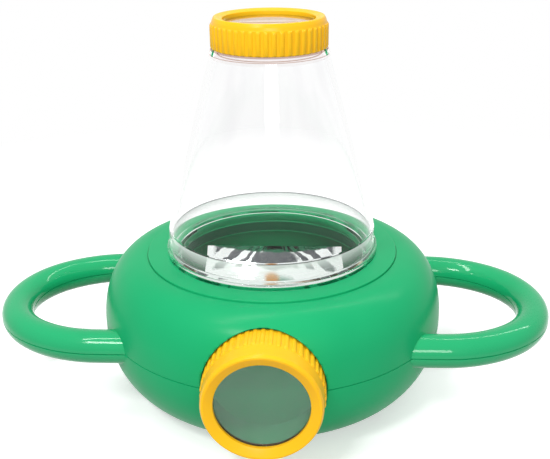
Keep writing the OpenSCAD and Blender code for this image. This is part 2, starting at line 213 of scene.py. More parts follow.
class Graph:
    def __init__(self, name):
        self.material = bpy.data.materials.new(name)
        self.material.use_nodes = True
        self.tree = self.material.node_tree
        self.tree.nodes.clear()

    def plug(self, socket, value):
        if isinstance(value, Value):
            self.tree.links.new(value.socket, socket)
        else:
            socket.default_value = value

    def add(self, kind, settings, inputs, output=0):
        node = self.tree.nodes.new(kind)
        for key, value in settings.items():
            setattr(node, key, value)
        for key, value in inputs.items():
            self.plug(node.inputs[key], value)
        return Value(self, node.outputs[output]) if len(node.outputs) else None

    def coords(self):
        return self.add("ShaderNodeTexCoord", {}, {}, "Object")

    def axes(self):
        split = self.tree.nodes.new("ShaderNodeSeparateXYZ")
        self.plug(split.inputs[0], self.coords())
        return [Value(self, socket) for socket in split.outputs]

    def vector(self, x, y, z):
        return self.add("ShaderNodeCombineXYZ", {}, {0: x, 1: y, 2: z})

    def noise(self, scale, detail=3.0, rough=0.5, at=None):
        return self.add("ShaderNodeTexNoise", {},
                        {"Vector": at or self.coords(), "Scale": scale,
                         "Detail": detail, "Roughness": rough}, "Fac")

    def blend(self, factor, first, second):
        return self.add("ShaderNodeMix", {"data_type": "RGBA"},
                        {0: factor, 6: first, 7: second}, 2)

    def bump(self, height, strength, distance):
        return self.add("ShaderNodeBump", {}, {"Height": height, "Strength": strength,
                                               "Distance": distance}, "Normal")

    def ray(self, kind):
        return self.add("ShaderNodeLightPath", {}, {}, kind)

    def principled(self, inputs):
        return self.add("ShaderNodeBsdfPrincipled", {}, inputs, "BSDF")

    def diffuse(self, colour):
        return self.add("ShaderNodeBsdfDiffuse", {}, {"Color": colour}, "BSDF")

    def transparent(self, colour):
        return self.add("ShaderNodeBsdfTransparent", {}, {"Color": colour}, "BSDF")

    def emission(self, strength):
        return self.add("ShaderNodeEmission", {},
                        {"Color": (1, 1, 1, 1), "Strength": strength}, "Emission")

    def mixShader(self, factor, first, second):
        return self.add("ShaderNodeMixShader", {}, {0: factor, 1: first, 2: second})

    def finish(self, shader):
        self.add("ShaderNodeOutputMaterial", {}, {"Surface": shader})
        return self.material


def distance(x, y):
    return (x * x + y * y) ** 0.5


plasticLook = {
    "cloudFrom": 0.35, "cloudSlope": 3.0, "cloudGloss": 0.06, "grainGloss": 0.05,
    "grainHeight": 0.00015, "ior": 1.5, "softDepth": 0.004,
}
greenLook = {
    **plasticLook,
    "light": (0.012, 0.400, 0.150, 1), "shade": (0.009, 0.370, 0.138, 1),
    "roughness": 0.36, "shine": 0.05, "coat": 0.12, "coatRoughness": 0.22,
    "cloudScale": 22.0, "grainScale": 1400.0, "grain": 0.05,
    "softness": 0.0, "softRadius": (0.3, 1.0, 0.5),
}
# the shell's plastic, with painted shade on the narrow wall low in the well
shellLook = {
    **greenLook,
    "paintedWellShade": (0.004, 0.060, 0.024, 1), "paintedWellShadeShare": 0.92, "paintedWellShadeRadius": 0.0454,
    "paintedWellShadeTop": 0.0664, "paintedWellShadeFoot": 0.0612, "paintedWellShadeSoft": 0.0005,
}
gripLook = {
    **greenLook,
    "roughness": 0.28, "grain": 0.02, "coat": 0.45, "coatRoughness": 0.06,
}
yellowLook = {
    **plasticLook,
    "light": (1.0, 0.555, 0.014, 1), "shade": (1.0, 0.520, 0.012, 1),
    "roughness": 0.32, "shine": 0.10, "coat": 0.10, "coatRoughness": 0.2,
    "cloudScale": 45.0, "grainScale": 1600.0, "grain": 0.03,
    "softness": 0.10, "softRadius": (1.0, 0.50, 0.05),
}


def mouldedPlastic(name, look):
    # two close tones in soft clouds, and a fine moulded grain in roughness and bump
    graph = Graph(name)
    clouds = graph.noise(look["cloudScale"], detail=2.0)
    grain = graph.noise(look["grainScale"], detail=2.0, rough=0.6)
    tone = graph.blend(clouds.ramp(look["cloudFrom"], look["cloudSlope"]),
                       look["shade"], look["light"])
    if "paintedWellShade" in look:
        # painted shade: the narrow wall low in the well is painted darker
        x, y, z = graph.axes()
        soft = look["paintedWellShadeSoft"]
        narrow = distance(x, y).below(look["paintedWellShadeRadius"], soft)
        band = narrow * z.below(look["paintedWellShadeTop"], soft) * (1 - z.below(look["paintedWellShadeFoot"], soft))
        tone = graph.blend(band * look["paintedWellShadeShare"], tone, look["paintedWellShade"])
    return graph.finish(graph.principled({
        "Base Color": tone,
        "Roughness": (look["roughness"] + (clouds - 0.5) * look["cloudGloss"]
                      + (grain - 0.5) * look["grainGloss"]),
        "Normal": graph.bump(grain, look["grain"], look["grainHeight"]),
        "IOR": look["ior"],
        "Specular IOR Level": look["shine"],
        "Coat Weight": look["coat"],
        "Coat Roughness": look["coatRoughness"],
        "Subsurface Weight": look["softness"],
        "Subsurface Radius": look["softRadius"],
        "Subsurface Scale": look["softDepth"],
    }))


# an index under that of real clear plastic keeps the view through the walls calm, as in the photo
wallLook = {"rippleGloss": 0.02, "rippleHeight": 0.0003, "turnsSoft": 0.1}
jarLook = {
    **wallLook,
    "tint": (0.990, 0.991, 0.992, 1), "shadow": (0.96, 0.97, 0.965, 1),
    "roughness": 0.012, "ior": 1.25, "rippleScale": 14.0, "ripple": 0.12, "turns": 3.5,
    # painted reflections: grey streaks up the cone
    "paintedStreaks": (0.945, 0.942, 0.950, 1), "streak": 0.8, "streakRate": 3.2, "streakLean": 14.0,
    "streakFrom": 0.125, "streakFade": 0.04, "streakCut": 0.46, "streakSlope": 5.0,
    # painted reflection: a thin dark line on the inner wall where the cone turns
    "lineHeight": 0.0821, "lineWidth": 0.0004, "lineSoft": 0.6, "line": 0.97,
    "lineColour": (0.03, 0.033, 0.036, 1), "innerRadius": 0.0487, "innerSoft": 0.0002,
    "skirtFoot": 0.0722, "skirtTopSoft": 0.0001, "skirtRise": 1.6, "skirtHaze": 0.75,
    "milk": (0.86, 0.90, 0.88, 1),
}
footLook = {**jarLook, "turns": 2.5}
lensLook = {
    **wallLook,
    "tint": (0.80, 0.77, 0.79, 1), "shadow": (0.90, 0.94, 0.92, 1),
    "roughness": 0.012, "ior": 1.49, "rippleScale": 30.0, "ripple": 0.02, "turns": 4.5,
}
topLensLook = {**lensLook, "tint": (0.97, 0.93, 0.93, 1), "ior": 1.25}


def innerWall(graph, look):
    x, y, z = graph.axes()
    return distance(x, y).below(look["innerRadius"], look["innerSoft"])


def jarTintAndPaintedReflections(graph, look):
    # painted reflections: faint grey streaks that run up the cone, and a thin dark line where its
    # inner wall turns
    x, y, z = graph.axes()
    around = x.math("ARCTAN2", y)
    lean = graph.vector(around * look["streakRate"], z * look["streakLean"], 0.0)
    streaks = graph.noise(1.0, detail=2.0, at=lean)
    upper = 1 - z.below(look["streakFrom"], look["streakFade"])
    paintedStreaks = streaks.ramp(look["streakCut"], look["streakSlope"]) * upper
    tint = graph.blend(paintedStreaks * look["streak"], look["tint"], look["paintedStreaks"])
    # painted reflection, as a thin dark line on the inner wall at its turn
    line = z.lineAt(look["lineHeight"], look["lineWidth"], look["lineWidth"] * look["lineSoft"])
    return graph.blend(line * innerWall(graph, look) * look["line"], tint, look["lineColour"])


def clearPlastic(name, look):
    # refracts what is seen through it, and lets light pass straight to what stands inside
    graph = Graph(name)
    ripple = graph.noise(look["rippleScale"], detail=2.0)
    glass = graph.principled({
        "Base Color": jarTintAndPaintedReflections(graph, look) if "line" in look else look["tint"],
        "Roughness": (ripple - 0.5) * look["rippleGloss"] + look["roughness"],
        "Transmission Weight": 1.0,
        "IOR": look["ior"],
        "Normal": graph.bump(ripple, look["ripple"], look["rippleHeight"]),
    })
    if "skirtHaze" in look:
        # the skirt's inner wall is a little milky, most of all under its turn
        z = graph.axes()[2]
        milky = graph.diffuse(look["milk"])
        top, foot = look["lineHeight"], look["skirtFoot"]
        height = ((z - foot) / (top - foot)).clamped()
        inside = z.below(top, look["skirtTopSoft"]) * innerWall(graph, look)
        haze = height ** look["skirtRise"] * inside * look["skirtHaze"]
        glass = graph.mixShader(haze, glass, milky)
    through = graph.transparent(look["shadow"])
    passing = graph.ray("Is Shadow Ray") + graph.ray("Is Diffuse Ray")
    # a ray caught inside the wall goes straight on after a few turns
    caught = 1 - graph.ray("Ray Depth").below(look["turns"], look["turnsSoft"])
    return graph.finish(graph.mixShader((passing + caught).clamped(), glass, through))


sheetLook = {"rippleGloss": 0.02, "film": 0.01, "ior": 1.49}
plateLook = {
    **sheetLook,
    "tint": (0.985, 0.995, 0.99, 1), "haze": (0.80, 0.84, 0.82, 1),
    "roughness": 0.03, "rippleScale": 40.0, "gloss": 0.0,
}
neckLook = {
    **sheetLook,
    "tint": (0.975, 0.945, 0.945, 1), "haze": (0.93, 0.88, 0.88, 1),
    "roughness": 0.08, "rippleScale": 60.0, "gloss": 0.06,
    "lineHeights": (0.1645, 0.1664), "lineWidth": 0.0002, "line": 0.8,
    "lineColour": (0.55, 0.36, 0.28, 1),
}


def thinClear(name, look):
    # a clear sheet that bends nothing, with only a weak gloss and, on the neck, thread-like lines
    graph = Graph(name)
    ripple = graph.noise(look["rippleScale"], detail=2.0)
    gloss = graph.principled({
        "Base Color": look["haze"],
        "Roughness": look["roughness"] + ripple * look["rippleGloss"],
    })
    tint = look["tint"]
    if "lineHeights" in look:
        z = graph.axes()[2]
        for height in look["lineHeights"]:
            line = z.lineAt(height, look["lineWidth"], look["lineWidth"])
            tint = graph.blend(line * look["line"], tint, look["lineColour"])
    through = graph.transparent(tint)
    rim = graph.add("ShaderNodeFresnel", {}, {"IOR": look["ior"]})
    shine = rim * look["gloss"] + ripple * look["film"]
    return graph.finish(graph.mixShader(shine, through, gloss))


# each painted reflection mark is (middle across, middle along, half width, half height)
mirrorLook = {
    "silver": (1.0, 1.0, 1.0, 1), "roughness": 0.03, "shine": 0.06,
    "hazeScale": 60.0, "hazeFrom": 0.4, "hazeGloss": 0.05, "hazeBump": 0.05,
    "bumpHeight": 0.0004, "wobbleScale": 240.0, "markWander": 0.5,
    "paintedDarkReflection": (0.085, 0.085, 0.095, 1), "paintedDarkReflectionGloss": 0.25, "paintedDarkReflectionShare": 0.97,
    "speckScale": 1500.0, "speckle": 0.7,
    "reflectionBlot": (0.0, 0.0178, 0.0120, 0.0036), "reflectionBlotSoft": 0.2,
    "warm": (0.62, 0.26, 0.05, 1), "warmSpot": (-0.0010, 0.0118, 0.0034, 0.0018),
    "warmSoft": 0.6,
    "cool": (0.10, 0.28, 0.19, 1), "coolSpot": (0.0045, 0.0108, 0.0055, 0.0018),
    "coolSoft": 0.9, "coolShare": 0.8,
    "paintedTopShade": (0.02, 0.11, 0.055, 1), "edgeMiddle": 0.0205, "edgeRise": 0.0030,
    "halfWidth": 0.035, "edgeWander": 0.0018, "edgeSoft": 0.0004,
    "fanHeight": 0.0300, "fanFrom": 0.50, "fanFromSoft": 0.1, "fanStripes": 30.0,
    "fanNoise": 130.0, "fanWander": 7.0, "fanCut": -0.15, "fanSlope": 4.0,
    "fanEnd": 0.0150, "fanEndSoft": 0.0006, "clearSide": 0.031, "clearSideSoft": 0.002,
}


def silvered(look):
    # silver film, with painted reflections drawn after the photo: dark fingers, a blot, a warm
    # spot and a cool spot, and painted shade on its top;
    # they are drawn and not reflected, so they stay where they are in every pose
    graph = Graph("silvered")
    x, y, z = graph.axes()
    haze = graph.noise(look["hazeScale"])
    wobble = graph.noise(look["wobbleScale"], detail=2.0)

    def mark(place, soft):
        across, along = (x - place[0]) / place[2], (y - place[1]) / place[3]
        wander = (wobble - 0.5) * look["markWander"]
        return (distance(across, along) + wander).below(1.0, soft)

    side = x.math("ABSOLUTE")
    # painted shade: the top of the mirror, above a wavering edge, turns dark green
    edge = (look["edgeMiddle"] + (x / look["halfWidth"]) ** 2 * look["edgeRise"]
            + (wobble - 0.5) * look["edgeWander"])
    shade = 1 - y.below(edge, look["edgeSoft"])
    # painted dark reflections: fingers that fan out across the mirror, and a blot near its middle
    angle = side.math("ARCTAN2", look["fanHeight"] - y)
    wander = (graph.noise(look["fanNoise"], detail=2.0) - 0.5) * look["fanWander"]
    fingers = (angle * look["fanStripes"] + wander).math("SINE")
    fan = (fingers.ramp(look["fanCut"], look["fanSlope"])
           * (1 - angle.below(look["fanFrom"], look["fanFromSoft"])))
    fan = (fan * (1 - y.below(look["fanEnd"], look["fanEndSoft"]))
           * side.below(look["clearSide"], look["clearSideSoft"]))
    reflectionBlot = mark(look["reflectionBlot"], look["reflectionBlotSoft"])
    speck = graph.noise(look["speckScale"], detail=2.0, rough=0.7)
    paintedDarkReflection = (fan + reflectionBlot).clamped() * (look["paintedDarkReflectionShare"] + (speck - 0.5) * look["speckle"])
    paintedDarkReflection = paintedDarkReflection.clamped()
    # painted reflections: a cool green spot and a warm orange spot
    cool = mark(look["coolSpot"], look["coolSoft"]) * look["coolShare"]
    tone = graph.blend(cool, look["silver"], look["cool"])
    tone = graph.blend(mark(look["warmSpot"], look["warmSoft"]), tone, look["warm"])
    tone = graph.blend(paintedDarkReflection, tone, look["paintedDarkReflection"])
    tone = graph.blend(shade, tone, look["paintedTopShade"])
    return graph.finish(graph.principled({
        "Base Color": tone,
        "Metallic": 1.0 - paintedDarkReflection,
        "Specular IOR Level": look["shine"],
        "Roughness": (look["roughness"] + (haze - look["hazeFrom"]).clamped() * look["hazeGloss"]
                      + paintedDarkReflection * look["paintedDarkReflectionGloss"]),
        "Normal": graph.bump(haze, look["hazeBump"], look["bumpHeight"]),
    }))


padLook = {"light": (0.78, 0.78, 0.74, 1), "shade": (0.66, 0.66, 0.62, 1),
           "roughness": 0.85, "metallic": 0.0, "grainScale": 900.0, "grain": 0.5}
snapLook = {"light": (0.035, 0.035, 0.035, 1), "shade": (0.02, 0.02, 0.02, 1),
            "roughness": 0.5, "metallic": 0.0, "grainScale": 500.0, "grain": 0.1}
screwLook = {"light": (0.62, 0.62, 0.64, 1), "shade": (0.48, 0.48, 0.50, 1),
             "roughness": 0.32, "metallic": 1.0, "grainScale": 350.0, "grain": 0.1}


def mottled(name, look, glossSpread=0.1, grainHeight=0.0002):
    graph = Graph(name)
    mottle = graph.noise(look["grainScale"])
    return graph.finish(graph.principled({
        "Base Color": graph.blend(mottle, look["shade"], look["light"]),
        "Metallic": look["metallic"],
        "Roughness": look["roughness"] + (mottle - 0.5) * glossSpread,
        "Normal": graph.bump(mottle, look["grain"], grainHeight),
    }))


greenPlastic = mouldedPlastic("greenPlastic", greenLook)
shellPlastic = mouldedPlastic("shellPlastic", shellLook)
gripPlastic = mouldedPlastic("gripPlastic", gripLook)
yellowPlastic = mouldedPlastic("yellowPlastic", yellowLook)
jarPlastic = clearPlastic("jarPlastic", jarLook)
footPlastic = clearPlastic("footPlastic", footLook)
platePlastic = thinClear("platePlastic", plateLook)
neckPlastic = thinClear("neckPlastic", neckLook)
lensPlastic = clearPlastic("lensPlastic", lensLook)
topLensPlastic = clearPlastic("topLensPlastic", topLensLook)
mirrorSilver = silvered(mirrorLook)
padFoam = mottled("padFoam", padLook)
snapPlastic = mottled("snapPlastic", snapLook)
screwSteel = mottled("screwSteel", screwLook)
print("materials made")


body = {
    "radius": 83.0, "splitHeight": 38.2, "flatRadius": 50.0, "wall": 2.4,
    "domePower": 2.24, "bowlPower": 2.12, "seatHeight": 70.9, "seatRadius": 60.4,
    "seatStep": 0.9, "grooveDepth": 0.5, "grooveWidth": 0.3,
    "wellRadius": 46.2, "wellDepth": 10.3, "ledgeDepth": 4.2, "ledgeWidth": 1.2,
    "seamBevel": 0.3, "slotHalf": 0.16, "slotDepth": 1.4,
    "pocketRadius": 27.1, "pocketDepthAt": 72.2, "pocketOut": 120, "tubeHole": 24.6,
    "cupOut": 90, "cupClear": 0.01, "skin": 0.8,
    "bossCircle": 66.0, "bossAngle": 40.0, "screwWell": 3.25, "screwSeat": 7.0,
    "wellOut": -5, "wellTubeFoot": -4, "wellTubeClear": 0.1,
}


def domeLoop(b):
    domeTop = b["seatHeight"] - b["seatStep"]
    innerTop = domeTop - b["wall"]
    innerRadius = b["radius"] - b["wall"]
    grooveRadius = b["seatRadius"] + b["grooveWidth"]
    grooveZ = domeTop - b["grooveDepth"]
    outer = quarterCurve(grooveRadius, domeTop, b["radius"],
                         b["splitHeight"] + b["seamBevel"], b["domePower"])
    inner = quarterCurve(b["seatRadius"], innerTop, innerRadius, b["splitHeight"], b["domePower"])
    ledgeZ = b["seatHeight"] - b["ledgeDepth"]
    wellZ = b["seatHeight"] - b["wellDepth"]
    lip = b["wellRadius"] - b["ledgeWidth"]
    outside = b["wellRadius"] + b["wall"]
    top = roundedLoop([
        (outside, innerTop), (outside, wellZ, 0.4), (lip, wellZ, 0.4), (lip, ledgeZ, 0.3),
        (b["wellRadius"], ledgeZ, 0.2), (b["wellRadius"], b["seatHeight"], 0.5),
        (b["seatRadius"], b["seatHeight"], 0.35), (b["seatRadius"], grooveZ),
        (grooveRadius, grooveZ)])
    slotZ = b["splitHeight"] + b["slotHalf"]
    slotRadius = b["radius"] - b["slotDepth"]
    return top + outer + [(b["radius"] - b["seamBevel"], slotZ), (slotRadius, slotZ),
                          (slotRadius, b["splitHeight"]),
                          (innerRadius, b["splitHeight"])] + inner[::-1][1:]


def bowlLoop(b):
    outer = quarterCurve(b["flatRadius"], 0, b["radius"],
                         b["splitHeight"] - b["seamBevel"], b["bowlPower"])
    inner = quarterCurve(b["flatRadius"], b["wall"], b["radius"] - b["wall"],
                         b["splitHeight"], b["bowlPower"])
    slotZ = b["splitHeight"] - b["slotHalf"]
    slotRadius = b["radius"] - b["slotDepth"]
    return ([(0, b["wall"]), (0, 0)] + outer
            + [(b["radius"] - b["seamBevel"], slotZ), (slotRadius, slotZ),
               (slotRadius, b["splitHeight"])] + inner[::-1])


def coreSolid(b):
    # the body's filled shape, a little inside its skin, to trim what stands inside
    inset = b["skin"]
    top = b["seatHeight"] - b["seatStep"] - inset
    dome = quarterCurve(b["seatRadius"], top, b["radius"] - inset, b["splitHeight"],
                        b["domePower"])
    bowl = quarterCurve(b["flatRadius"], inset, b["radius"] - inset, b["splitHeight"],
                        b["bowlPower"])
    return lathe("core", [(0, inset)] + bowl[:-1] + dome[::-1] + [(0, top)], segments=160)


def pocketCup(b):
    # cup behind the eyepiece, trimmed by the body's own skin
    inside, outside = b["pocketRadius"] - b["cupClear"], b["pocketRadius"] + b["wall"]
    floorZ, backZ = b["pocketDepthAt"], b["pocketDepthAt"] - b["wall"]
    cup = lathe("pocketCup", roundedLoop([
        (b["tubeHole"], backZ), (b["tubeHole"], floorZ, 0.3), (inside, floorZ, 0.3),
        (inside, b["cupOut"]), (outside, b["cupOut"]), (outside, backZ)]),
                segments=128, place=pocketPlace)
    cutWith(cup, coreSolid(b), "INTERSECT")
    return cup


def wellTube(b, x, y):
    # wall round a screw's well, closed above its seat
    seat, top = b["splitHeight"] - b["screwSeat"], b["splitHeight"] - b["wellTubeClear"]
    inside, outside = b["screwWell"], b["screwWell"] + b["wall"]
    foot = b["wellTubeFoot"]
    tube = lathe("wellTube", [(0, seat), (inside, seat), (inside, foot), (outside, foot),
                              (outside, top), (0, top)],
                 segments=48, place=Matrix.Translation((x * mm, y * mm, 0)))
    cutWith(tube, coreSolid(b), "INTERSECT")
    return tube


bossTurn = math.radians(body["bossAngle"])
bossPlaces = [(sx * body["bossCircle"] * math.cos(bossTurn),
               sy * body["bossCircle"] * math.sin(bossTurn))
              for sx in (-1, 1) for sy in (-1, 1)]
pocketPlace = atEyepiece(body["splitHeight"])
dome = lathe("dome", domeLoop(body), segments=256)
bowl = lathe("bowl", bowlLoop(body), segments=256)
for half in (dome, bowl):
    cutWith(half, rod("pocketTool", 0, 0, body["pocketDepthAt"], body["pocketOut"],
                      body["pocketRadius"], segments=128, place=pocketPlace))
for x, y in bossPlaces:
    cutWith(bowl, rod("wellTool", x, y, body["wellOut"],
                      body["splitHeight"] - body["screwSeat"], body["screwWell"]))
cup = pocketCup(body)
wellTubes = [wellTube(body, x, y) for x, y in bossPlaces]


grip = {
    "tipX": 129.0, "halfSpacing": 43.9, "tuck": 2.4, "barRadius": 7.8, "armStart": 60.0,
    "seamBevel": 0.3, "slotHalf": 0.14, "slotDepth": 1.2, "wellFrom": 20, "screwSeat": 3.0,
    "armSteps": 8, "arcSteps": 40, "sectionSteps": 28,
}


def gripPath(g):
    # straight arm, shoulder arc, tip arc, shoulder arc and arm; the centres are set apart
    # 3, 4 and 5 times the tuck, so the arcs share their tangents
    tipR = g["halfSpacing"] - g["tuck"]
    tipC = g["tipX"] - tipR
    armX = tipC - 3 * g["tuck"]
    shoulderC = (armX, -4 * g["tuck"])
    shoulderR = tipR + 5 * g["tuck"]
    meet = math.atan2(4, 3)
    path = [(g["armStart"] + (armX - g["armStart"]) * i / g["armSteps"], g["halfSpacing"])
            for i in range(g["armSteps"])]
    for i in range(g["arcSteps"]):
        a = math.pi / 2 + (meet - math.pi / 2) * i / g["arcSteps"]
        path.append((shoulderC[0] + shoulderR * math.cos(a),
                     shoulderC[1] + shoulderR * math.sin(a)))
    for i in range(g["arcSteps"] + 1):
        a = meet * (1 - i / g["arcSteps"])
        path.append((tipC + tipR * math.cos(a), tipR * math.sin(a)))
    return path + [(x, -y) for x, y in path[-2::-1]]


def gripSection(g):
    # half a round bar, with the parting line's slot along its two edges
    slot = g["barRadius"] - g["slotDepth"]
    edge = g["barRadius"] - g["seamBevel"]
    section = [(slot, 0), (slot, g["slotHalf"]), (edge, g["slotHalf"])]
    for i in range(g["sectionSteps"] + 1):
        a = math.pi * i / g["sectionSteps"]
        section.append((g["barRadius"] * math.cos(a), g["seamBevel"] + edge * math.sin(a)))
    return section + [(-edge, g["slotHalf"]), (-slot, g["slotHalf"]), (-slot, 0)]


def gripHalf(name, g, side, upper):
    height = body["splitHeight"]
    section = gripSection(g)
    path = gripPath(g)
    bm = bmesh.new()
    rings = []
    for i, (x, y) in enumerate(path):
        x0, y0 = path[max(i - 1, 0)]
        x1, y1 = path[min(i + 1, len(path) - 1)]
        along = Vector((x1 - x0, y1 - y0)).normalized()
        out = Vector((-along.y, along.x))
        rings.append([bm.verts.new((side * (x + out.x * u) * mm, (y + out.y * u) * mm,
                                    (height + (v if upper else -v)) * mm)) for u, v in section])
    for a, b in zip(rings, rings[1:]):
        for k in range(len(section)):
            n = (k + 1) % len(section)
            bm.faces.new([a[k], a[n], b[n], b[k]])
    bm.faces.new(rings[0])
    bm.faces.new(rings[-1])
    return finishMesh(name, bm, sharpDegrees=30)


topGrips = [gripHalf("topGrip", grip, side, True) for side in (-1, 1)]
lowGrips = [gripHalf("lowGrip", grip, side, False) for side in (-1, 1)]
for side, half in zip((-1, 1), lowGrips):
    cutWith(half, rod("gripWellTool", side * grip["tipX"], 0, grip["wellFrom"],
                      body["splitHeight"] - grip["screwSeat"], body["screwWell"]))


def paint(piece, material):
    piece.data.materials.clear()
    piece.data.materials.append(material)


def settle(piece, bodyName, slotName, material, *nodes):
    if material is not None:
        paint(piece, material)
    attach(piece, bodyName)
    if nodes:
        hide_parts(*nodes)


upperShell = joined("upperShell", [dome, cup])
lowerShell = joined("lowerShell", [bowl] + wellTubes)
settle(upperShell, "base", "shell", shellPlastic, "upper_shell")
settle(lowerShell, "base", "shell", greenPlastic, "lower_shell")
settle(joined("upperGrips", topGrips), "base", "shell", gripPlastic)
settle(joined("lowerGrips", lowGrips), "base", "shell", gripPlastic)
print("shells made")


capSizes = {"base": 166.75, "outer": 26.15, "length": 13.4, "ribLength": 10.5,
            "open": 20.5, "drop": 0.9, "land": 1.9, "lens": 22.6}
eyeSizes = {"base": 72.7, "outer": 26.7, "length": 21.6, "ribLength": 12.8,
            "open": 20.2, "drop": 1.9, "land": 1.5, "lens": 22.3}
ringCommon = {
    "wall": 1.9, "shoulderStep": 0.7, "seat": 2.1, "gap": 0.35, "retainer": 1.6,
    "lensEdge": 1.8, "lensBulge": 1.5, "lensSink": 0.22,
    "ribs": 48, "ribWidth": 2.35, "ribProud": 0.62, "ribSink": 0.25, "ribRoundness": 3.2,
    "ribSteps": 8,
}


def ringLoop(s, c):
    # bore, ribbed band at the foot of its ribs, shoulder, bevelled face and lens seat
    valley = s["outer"] - c["ribProud"]
    shoulder = s["outer"] - c["shoulderStep"]
    bore = s["outer"] - c["wall"]
    lensBore = s["open"] + c["seat"] + c["gap"]
    seatZ = s["length"] - s["drop"] - s["land"]
    stepZ = seatZ - c["lensEdge"] - c["retainer"] - c["gap"]
    top = s["length"]
    return roundedLoop([
        (bore, 0, 0.3), (valley, 0, 0.3), (valley, s["ribLength"], 0.05),
        (shoulder, s["ribLength"] + 0.1, 0.3), (shoulder - 0.35, top - 1.6, 0.8),
        (shoulder - 1.1, top, 0.9), (shoulder - 2.0, top - 0.05, 0.9),
        (s["open"] + 0.1, top - s["drop"], 0.35), (s["open"], seatZ, 0.2),
        (lensBore, seatZ, 0.1), (lensBore, stepZ, 0.2), (bore, stepZ - 0.5, 0.2)])


def ribShape(s, c):
    # one rib: a low rounded bar that sinks into the band and fades into the shoulder
    top = s["ribLength"]
    profile = [(0.25, 0.55), (0.6, 1.0), (top * 0.5, 1.0), (top - 1.2, 1.0), (top - 0.5, 0.8),
               (top - 0.05, 0.15)]
    half = c["ribWidth"] / 2
    last = c["ribSteps"]
    bm = bmesh.new()
    grid = []
    for z, share in profile:
        row = []
        for k in range(last + 1):
            u = -1 + 2 * k / last
            rise = (1 - abs(u) ** c["ribRoundness"]) * c["ribProud"] * share
            above = c["ribSink"] if 0 < k < last else 0
            row.append(bm.verts.new(((s["outer"] - c["ribProud"] - c["ribSink"] + rise + above)
                                     * mm, u * half * mm, z * mm)))
        grid.append(row)
    for a, b in zip(grid, grid[1:]):
        for k in range(last):
            bm.faces.new([a[k], a[k + 1], b[k + 1], b[k]])
        bm.faces.new([a[last], a[0], b[0], b[last]])
    bm.faces.new(grid[0])
    bm.faces.new(grid[-1])
    return finishMesh("ribShape", bm, sharpDegrees=60)


def addNode(tree, kind, inputs=None, **settings):
    node = tree.nodes.new(kind)
    for key, value in settings.items():
        setattr(node, key, value)
    for key, value in (inputs or {}).items():
        if isinstance(value, bpy.types.NodeSocket):
            tree.links.new(value, node.inputs[key])
        else:
            node.inputs[key].default_value = value
    return node


def turnedRowTree():
    # turns copies of one shape about Z, evenly spaced
    tree = bpy.data.node_groups.new("turnedRow", "GeometryNodeTree")
    tree.interface.new_socket("Geometry", in_out="OUTPUT", socket_type="NodeSocketGeometry")
    tree.interface.new_socket("Shape", in_out="INPUT", socket_type="NodeSocketObject")
    tree.interface.new_socket("Count", in_out="INPUT", socket_type="NodeSocketInt")
    tree.interface.new_socket("Finish", in_out="INPUT", socket_type="NodeSocketMaterial")
    given = addNode(tree, "NodeGroupInput").outputs
    shape = addNode(tree, "GeometryNodeObjectInfo", {"Object": given["Shape"]})
    spots = addNode(tree, "GeometryNodePoints", {"Count": given["Count"]})
    number = addNode(tree, "GeometryNodeInputIndex")
    part = addNode(tree, "ShaderNodeMath", {0: number.outputs[0], 1: given["Count"]},
                   operation="DIVIDE")
    angle = addNode(tree, "ShaderNodeMath", {0: part.outputs[0], 1: tau}, operation="MULTIPLY")
    turn = addNode(tree, "ShaderNodeCombineXYZ", {"Z": angle.outputs[0]})
    copies = addNode(tree, "GeometryNodeInstanceOnPoints",
                     {"Points": spots.outputs[0], "Instance": shape.outputs["Geometry"],
                      "Rotation": turn.outputs[0]})
    real = addNode(tree, "GeometryNodeRealizeInstances", {"Geometry": copies.outputs[0]})
    done = addNode(tree, "GeometryNodeSetMaterial",
                   {"Geometry": real.outputs[0], "Material": given["Finish"]})
    addNode(tree, "NodeGroupOutput", {0: done.outputs[0]})
    return tree


turnedRow = turnedRowTree()


def turnedCopies(name, shape, count, material, place):
    holder = linked(name, bpy.data.meshes.new(name))
    modifier = holder.modifiers.new("row", "NODES")
    modifier.node_group = turnedRow
    sockets = {item.name: item.identifier for item in turnedRow.interface.items_tree
               if item.in_out == "INPUT"}
    modifier[sockets["Shape"]] = shape
    modifier[sockets["Count"]] = count
    modifier[sockets["Finish"]] = material
    mesh = bpy.data.meshes.new_from_object(
        holder.evaluated_get(bpy.context.evaluated_depsgraph_get()))
    holder.modifiers.clear()
    holder.data = mesh
    mesh.transform(place)
    bpy.data.objects.remove(shape)
    return holder


for name, sizes, stand, bodyName, node in (
        ("capRing", capSizes, Matrix(), "cap", "cap_ring"),
        ("eyepieceRing", eyeSizes, pocketPlace, "eyepiece", "eyepiece_ring")):
    place = stand @ Matrix.Translation((0, 0, sizes["base"] * mm))
    ring = lathe(name, ringLoop(sizes, ringCommon), place=place)
    settle(ring, bodyName, "ring", yellowPlastic, node)
    ribs = turnedCopies(name + "Ribs", ribShape(sizes, ringCommon), ringCommon["ribs"],
                        yellowPlastic, place)
    settle(ribs, bodyName, "ring", None)
print("rings made")


def lensLoop(radius, edge, bulge, steps=24):
    # two equal caps of a ball on a short edge
    ball = (radius ** 2 + bulge ** 2) / (2 * bulge)
    out = []
    for i in range(steps + 1):
        r = radius * i / steps
        out.append((r, math.sqrt(ball ** 2 - r ** 2) - ball + bulge))
    top = [(r, edge + z) for r, z in out]
    under = [(r, -z) for r, z in out]
    return top + under[::-1]


